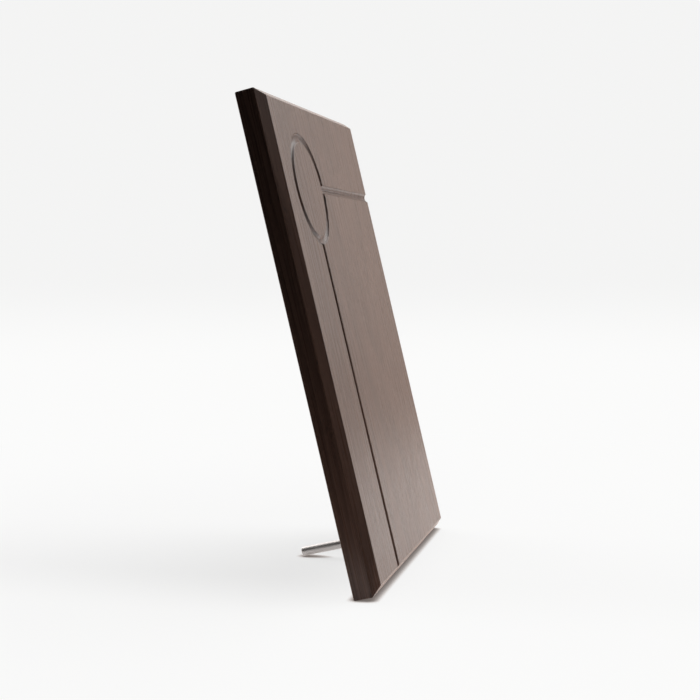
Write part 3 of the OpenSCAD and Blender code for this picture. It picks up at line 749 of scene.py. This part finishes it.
def backdrop_paper(floor, wall, painted_shadow_reach):
    """Paper that glows evenly far off, takes shadows near the object, and has a painted brown contact shadow where
    the object meets it.
    """
    made = Finish("studio_paper", (0.5, 0.5, 0.5), 0.6, Specular_IOR_Level=0.0)
    place = made.node("TexCoord").outputs["Object"]
    split = made.node("SeparateXYZ", Vector=place)
    # Lit paper takes light and shadow: it lies near the object, most of all behind it and to its right
    away = made.node("VectorMath", {"operation": "LENGTH"}, i0=place).outputs["Value"]
    behind = made.span(split.outputs["Y"], -0.06, 0.03, 0.3, 1.0)
    beyond = made.span(split.outputs["X"], -0.14, -0.04, 0.3, 1.0)
    near = made.span(away, 0.55, 0.12, 0.0, 0.55)
    lit = made.math("MULTIPLY", near, made.math("MULTIPLY", behind, beyond))
    # Painted contact shadow: where the object meets the paper the sky is shut off, and an occlusion node paints
    # the paper's colour, glow colour and glow darker and browner there
    painted_shadow_ao = made.node("AmbientOcclusion", {"samples": 12}, Distance=painted_shadow_reach)
    clear_of_painted_shadow = made.math("POWER", painted_shadow_ao.outputs["AO"], 2.0)
    # Painted shadow in the colour: brown where the object shuts the paper in, pale grey elsewhere
    ground_with_painted_shadow = made.blend(clear_of_painted_shadow, (0.24, 0.19, 0.165, 1), (0.56, 0.56, 0.56, 1))
    made.set("Base Color", made.blend(lit, (0.0, 0.0, 0.0, 1), ground_with_painted_shadow))
    # Painted shadow in the glow colour: browner where the object shuts the paper in
    made.set("Emission Color", made.blend(clear_of_painted_shadow, (0.95, 0.82, 0.76, 1), (1.0, 1.0, 0.996, 1)))
    rise = made.span(split.outputs["Z"], 0.0, 0.14, floor, wall)
    glow = made.math("SUBTRACT", rise, made.math("MULTIPLY", lit, 0.62))
    # Painted shadow in the glow strength: cut to a fifth at the heart of the painted contact shadow
    made.set("Emission Strength", made.math("MULTIPLY", glow, made.span(clear_of_painted_shadow, 0.0, 1.0, 0.2, 1.0)))
    return made.material


backdrop = sweep()
# The painted contact shadow reaches 4 mm out from the object
backdrop.data.materials.append(backdrop_paper(floor=0.965, wall=0.905, painted_shadow_reach=4 * MM))
bounce = board("bounce", low=(-0.18, -2.0), high=(2.0, 2.0), z=-0.4 * MM)
bounce.data.materials.append(paper("bounce_paper", shade=0.9, glow=0.31))


def area_light(name, place, size, power, aim=(0, 0, 0.12)):
    """A rectangular lamp that points at a place, by default the middle of the object."""
    data = bpy.data.lights.new(name, "AREA")
    data.shape = "RECTANGLE"
    data.size, data.size_y = size
    data.energy = power
    lamp = bpy.data.objects.new(name, data)
    bpy.context.scene.collection.objects.link(lamp)
    lamp.location = place
    lamp.rotation_euler = (Vector(aim) - Vector(place)).to_track_quat("-Z", "Y").to_euler()


def world_light(front, behind, top, dark):
    """Soft light from all round: brighter overhead and low down behind, dark on the side of the camera."""
    world = bpy.data.worlds.new("studio")
    bpy.context.scene.world = world
    world.use_nodes = True
    tree = world.node_tree
    background = tree.nodes["Background"]
    background.inputs["Color"].default_value = (1, 1, 1, 1)
    place = tree.nodes.new("ShaderNodeTexCoord")
    split = tree.nodes.new("ShaderNodeSeparateXYZ")
    tree.links.new(place.outputs["Generated"], split.inputs[0])
    spreads = {}
    for direction, limits in (("X", (-0.1, 0.4, 0.0, 1.0)), ("Y", (0.0, 0.3, front, behind)),
                              ("Z", (0.2, 0.7, front, top))):
        spread = tree.nodes.new("ShaderNodeMapRange")
        spread.interpolation_type = "SMOOTHSTEP"
        for key, value in zip(("From Min", "From Max", "To Min", "To Max"), limits):
            spread.inputs[key].default_value = value
        tree.links.new(split.outputs[direction], spread.inputs["Value"])
        spreads[direction] = spread
    tree.links.new(spreads["Y"].outputs[0], spreads["Z"].inputs["To Min"])
    lit = tree.nodes.new("ShaderNodeMath")
    lit.operation = "MULTIPLY_ADD"
    tree.links.new(spreads["X"].outputs[0], lit.inputs[0])
    tree.links.new(spreads["Z"].outputs[0], lit.inputs[1])
    lit.inputs[2].default_value = dark
    tree.links.new(lit.outputs[0], background.inputs["Strength"])


world_light(front=0.31, behind=1.0, top=1.75, dark=0.031)
area_light("front_softbox", place=(0.75, -0.75, 0.75), size=(1.2, 1.2), power=7.5)
area_light("rear_fill", place=(0.5, 1.1, 0.8), size=(0.8, 0.8), power=6)
area_light("top_glint", place=(1.14, 0.31, 0.485), size=(0.3, 0.3), power=0.2, aim=(0.0, 0.03, 0.245))
area_light("bevel_glint", place=(-0.33, -0.92, 0.72), size=(0.16, 0.16), power=0.2, aim=(-0.096, 0.0, 0.24))

# The camera stands off the slab's left side, a little above the floor, and looks along the front.
# FOOT is the left end of the edge that the slab stands on, and EYE goes from there to the camera.
FOOT = Vector((slab_low.x, -22.8 * MM, 0))
EYE = Vector((-655.9, -146.0, 163.4)) * MM
DOWN, ASIDE = math.radians(3.65), math.radians(12.69)

camera_data = bpy.data.cameras.new("camera")
camera_data.lens = 73.12
camera_data.sensor_width = 36.0
camera = bpy.data.objects.new("camera", camera_data)
bpy.context.scene.collection.objects.link(camera)
camera.location = FOOT + EYE
camera.rotation_euler = (math.radians(90) - DOWN, 0, ASIDE - math.radians(90))
bpy.context.scene.camera = camera
bpy.context.scene.view_settings.view_transform = "Standard"
